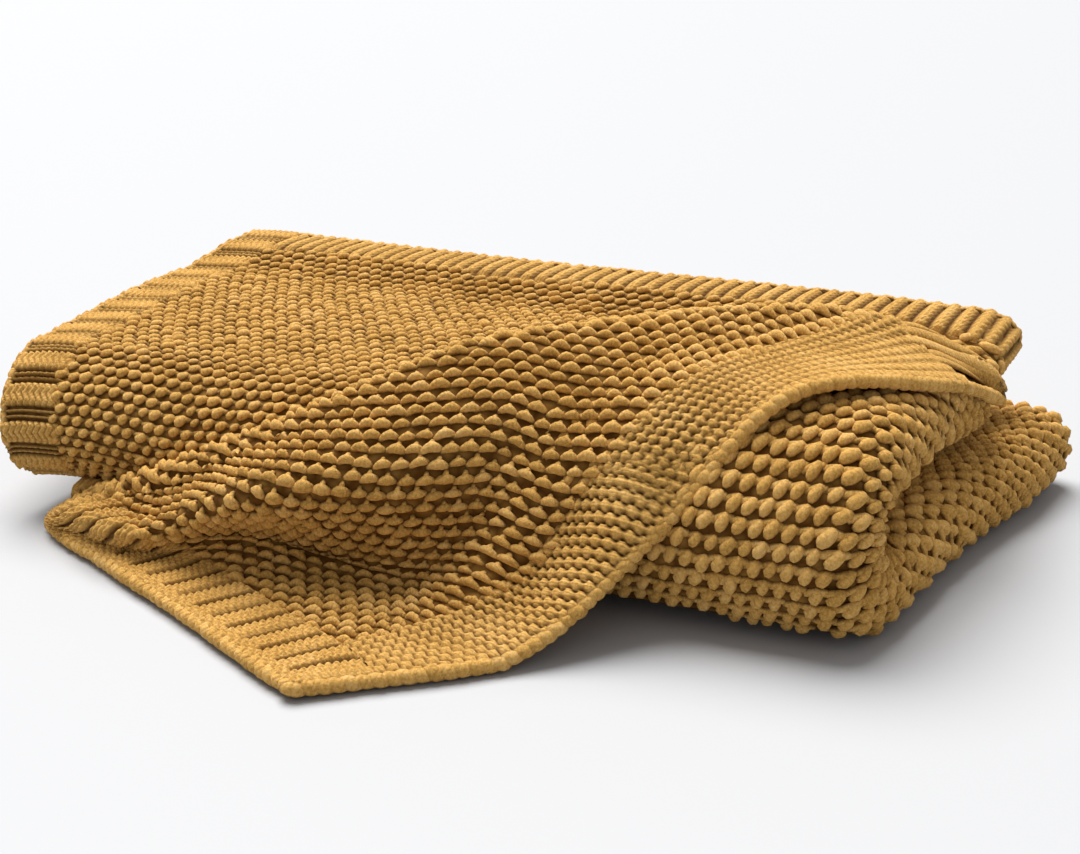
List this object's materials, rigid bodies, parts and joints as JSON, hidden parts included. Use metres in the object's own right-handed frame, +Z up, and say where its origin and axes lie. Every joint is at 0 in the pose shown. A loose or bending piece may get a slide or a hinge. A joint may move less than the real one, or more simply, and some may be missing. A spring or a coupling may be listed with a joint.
{
  "type": "folded knitted throw",
  "caption": "Chunky knitted throw with ribbed borders, folded into a flat stack, with one corner of its top layer turned down over the front.",
  "frame": {"origin": "on the ground, below the middle of the throw's box", "axes": "+X along the folded stack towards its rounded right end, +Y to the back away from the turned-down corner, +Z up"},
  "size_m": [0.6765, 0.5244, 0.1426],
  "materials": {
    "wool": "matte"
  },
  "bodies": {
    "root": {"blanket": "wool"}
  },
  "joints": []
}
